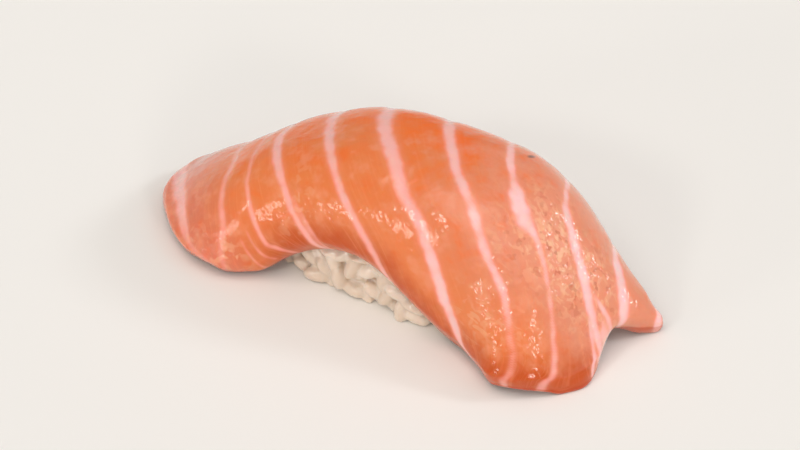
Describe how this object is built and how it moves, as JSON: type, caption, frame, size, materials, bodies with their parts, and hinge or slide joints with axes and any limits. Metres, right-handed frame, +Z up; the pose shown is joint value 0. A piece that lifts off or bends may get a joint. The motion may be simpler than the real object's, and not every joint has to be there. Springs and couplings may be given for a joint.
{
  "type": "salmon nigiri",
  "caption": "Oblong pad of pressed sushi rice under one long slice of raw salmon with pale fat lines, draped down to the board at both ends.",
  "frame": {"origin": "middle of the piece's bounding box, on the board it stands on", "axes": "+X along the rice pad towards the notched end of the slice, +Y to the back where the rice shows, +Z up"},
  "size_m": [0.0934, 0.0392, 0.028],
  "materials": {
    "rice": "cooked white rice grains, moist, slightly translucent",
    "salmon": "raw orange-pink salmon, wet sheen, pale pink fat lines through the slice"
  },
  "bodies": {
    "root": {"rice": "rice", "salmon": "salmon"}
  },
  "joints": []
}
